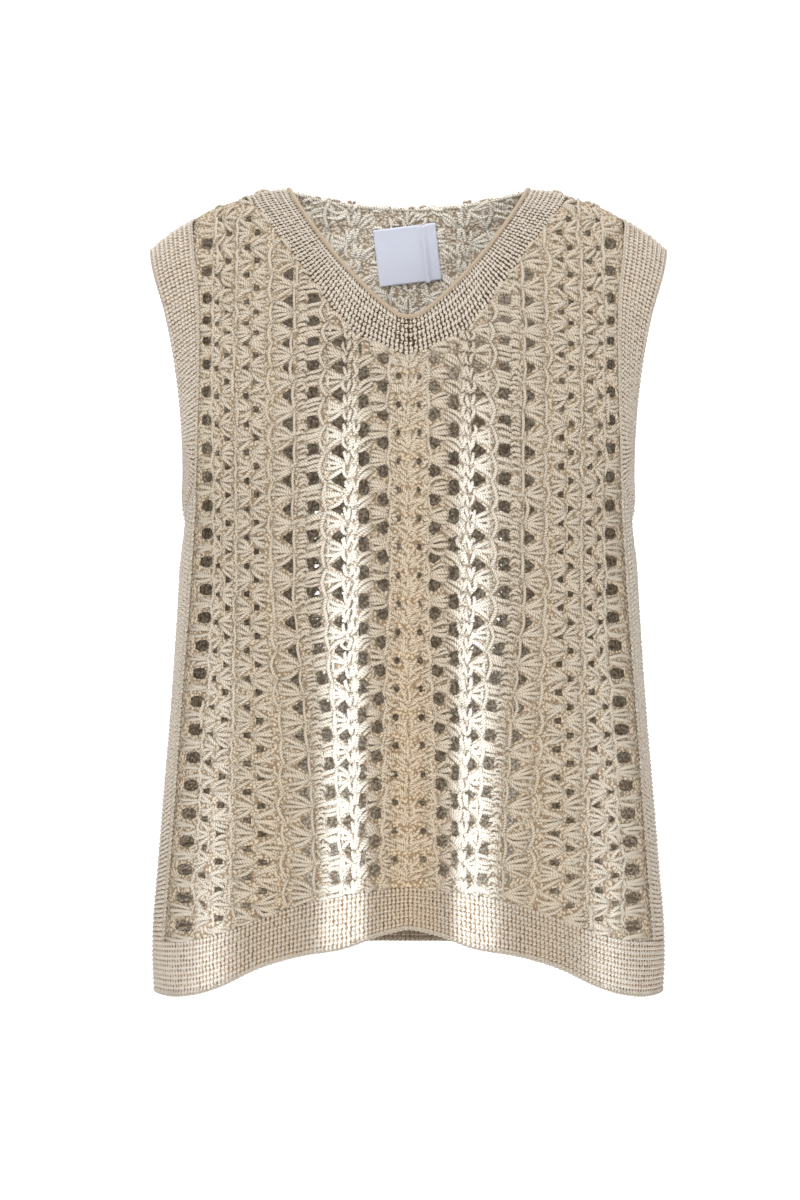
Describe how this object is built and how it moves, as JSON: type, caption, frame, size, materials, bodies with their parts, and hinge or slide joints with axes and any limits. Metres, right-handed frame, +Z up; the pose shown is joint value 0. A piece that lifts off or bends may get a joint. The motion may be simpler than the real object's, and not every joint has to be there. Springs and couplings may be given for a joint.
{
  "type": "sleeveless v-neck crochet top",
  "caption": "Sleeveless V-neck top in open crochet with close-worked neck, armhole and hem bands, filled out as worn.",
  "frame": {"origin": "midway between the wearer's shoulders, where they carry the top, level with the middle of the shoulder line", "axes": "+Z up, -Y out of the front, +X towards the wearer's left"},
  "size_m": [0.439, 0.2351, 0.6832],
  "materials": {
    "openwork_yarn": "thick matt cream cotton yarn in open crochet",
    "band_yarn": "the same yarn in close single crochet",
    "label_satin": "pale satin ribbon, blank"
  },
  "bodies": {
    "root": {"front_panel": "openwork_yarn", "back_panel": "openwork_yarn", "neck_band": "band_yarn", "armhole_band_left": "band_yarn", "armhole_band_right": "band_yarn", "side_strip_left": "band_yarn", "side_strip_right": "band_yarn", "hem_band_front": "band_yarn", "hem_band_back": "band_yarn", "label": "label_satin"}
  },
  "joints": []
}
